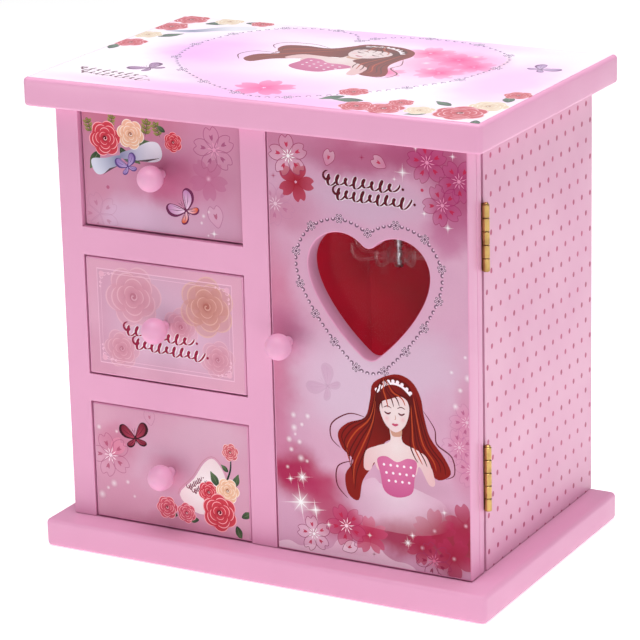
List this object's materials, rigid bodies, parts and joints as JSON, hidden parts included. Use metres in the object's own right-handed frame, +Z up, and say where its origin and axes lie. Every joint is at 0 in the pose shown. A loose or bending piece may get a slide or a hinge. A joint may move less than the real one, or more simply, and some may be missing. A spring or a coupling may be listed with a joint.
{
  "type": "ballerina jewellery box",
  "caption": "Cabinet jewellery box with drawers, a heart-window door over a velvet compartment, a hanging necklace carousel and a wind-up turning dancer.",
  "frame": {"origin": "centre of the base board's underside, which is the face that the box stands on", "axes": "+X along the box's width to the right seen from the front, -Y out of the front face with the drawers and door, +Z up"},
  "size_m": [0.208, 0.1545, 0.205],
  "materials": {
    "pink_paint": "satin pink lacquer on fibreboard",
    "side_film": "satin pink film with small darker dots on fibreboard",
    "printed_film": "glossy printed film with flowers on fibreboard",
    "pink_knob": "gloss",
    "bare_board": "bare fibreboard",
    "red_velvet": "flocked velvet",
    "clear_acrylic": "clear gloss",
    "hinge_brass": "polished",
    "bright_steel": "bright",
    "cast_zinc": "cast",
    "gear_nylon": "moulded",
    "doll_plastic": "painted",
    "tutu_net": "stiff net"
  },
  "bodies": {
    "case": {"back_panel": "pink_paint", "base_board": "pink_paint", "carousel_bearing": "clear_acrylic", "catch_magnet": "bright_steel", "compartment_floor": "bare_board", "divider_panel": "bare_board", "false_back": "bare_board", "floor_riser": "red_velvet", "front_frame": "pink_paint", "hinge_case_leaf_lower": "hinge_brass", "hinge_case_leaf_upper": "hinge_brass", "hinge_pin_lower": "hinge_brass", "hinge_pin_upper": "hinge_brass", "left_side_panel": "side_film", "lining_back": "red_velvet", "lining_floor": "red_velvet", "lining_left": "red_velvet", "lining_right": "red_velvet", "lower_shelf": "bare_board", "movement_bedplate": "cast_zinc", "movement_comb": "bright_steel", "right_side_panel": "side_film", "top_board": "printed_film", "upper_shelf": "bare_board"},
    "door": {"catch_plate": "bright_steel", "door_knob": "pink_knob", "door_knob_screw": "bright_steel", "door_panel": "printed_film", "hinge_door_leaf_lower": "hinge_brass", "hinge_door_leaf_upper": "hinge_brass", "window_pane": "clear_acrylic"},
    "drawer_1": {"drawer_1_front": "printed_film", "drawer_1_knob": "pink_knob", "drawer_1_knob_screw": "bright_steel", "drawer_1_lining": "red_velvet", "drawer_1_tray": "bare_board"},
    "drawer_2": {"drawer_2_front": "printed_film", "drawer_2_knob": "pink_knob", "drawer_2_knob_screw": "bright_steel", "drawer_2_lining": "red_velvet", "drawer_2_tray": "bare_board"},
    "drawer_3": {"drawer_3_front": "printed_film", "drawer_3_knob": "pink_knob", "drawer_3_knob_screw": "bright_steel", "drawer_3_lining": "red_velvet", "drawer_3_tray": "bare_board"},
    "carousel": {"carousel_post": "clear_acrylic", "carousel_hooks": "clear_acrylic", "carousel_screw": "bright_steel"},
    "winding": {"spring_barrel": "hinge_brass", "winding_key": "bright_steel"},
    "note_cylinder": {"note_cylinder": "hinge_brass"},
    "air_brake": {"air_brake": "bright_steel"},
    "drive_spindle": {"drive_spindle": "gear_nylon"},
    "dancer": {"turntable": "gear_nylon", "turntable_gear": "gear_nylon", "dancer_figure": "doll_plastic", "dancer_tutu": "tutu_net"},
    "start_rod": {"start_rod": "bright_steel"}
  },
  "joints": [
    {"name": "door_hinge", "type": "hinge", "parent": "case", "child": "door", "pos_m": [0.0939, -0.04135, 0.1025], "axis": [0, 0, 1], "range_deg": [0, 180]},
    {"name": "drawer_1_slide", "type": "slide", "parent": "case", "child": "drawer_1", "axis": [0, -1, 0], "range_m": [0, 0.085]},
    {"name": "drawer_2_slide", "type": "slide", "parent": "case", "child": "drawer_2", "axis": [0, -1, 0], "range_m": [0, 0.085]},
    {"name": "drawer_3_slide", "type": "slide", "parent": "case", "child": "drawer_3", "axis": [0, -1, 0], "range_m": [0, 0.085]},
    {"name": "carousel_spin", "type": "hinge", "parent": "case", "child": "carousel", "pos_m": [0.04, -0.0113, 0.1346], "axis": [0, 0, 1], "continuous": true},
    {"name": "winding_spin", "type": "hinge", "parent": "case", "child": "winding", "pos_m": [0.032, 0.0564, 0.062], "axis": [0, 1, 0], "continuous": true},
    {"name": "cylinder_spin", "type": "hinge", "parent": "case", "child": "note_cylinder", "pos_m": [0.0428, 0.0457, 0.062], "axis": [1, 0, 0], "continuous": true},
    {"name": "brake_spin", "type": "hinge", "parent": "case", "child": "air_brake", "pos_m": [0.0428, 0.0457, 0.054], "axis": [1, 0, 0], "continuous": true},
    {"name": "spindle_spin", "type": "hinge", "parent": "case", "child": "drive_spindle", "pos_m": [0.032, 0.0457, 0.0512], "axis": [0, 0, 1], "continuous": true},
    {"name": "dancer_spin", "type": "hinge", "parent": "case", "child": "dancer", "pos_m": [0.0432, 0.01402, 0.0262], "axis": [0, 0, 1], "continuous": true},
    {"name": "start_slide", "type": "slide", "parent": "case", "child": "start_rod", "axis": [0, -1, 0], "range_m": [0, 0.002]}
  ],
  "couplings": [
    {"joint": "cylinder_spin", "follows": "winding_spin", "ratio": -3},
    {"joint": "brake_spin", "follows": "winding_spin", "ratio": 12},
    {"joint": "spindle_spin", "follows": "winding_spin", "ratio": 3},
    {"joint": "dancer_spin", "follows": "winding_spin", "ratio": -1.5},
    {"joint": "start_slide", "follows": "door_hinge", "m_per_rad": 0.0006366}
  ]
}
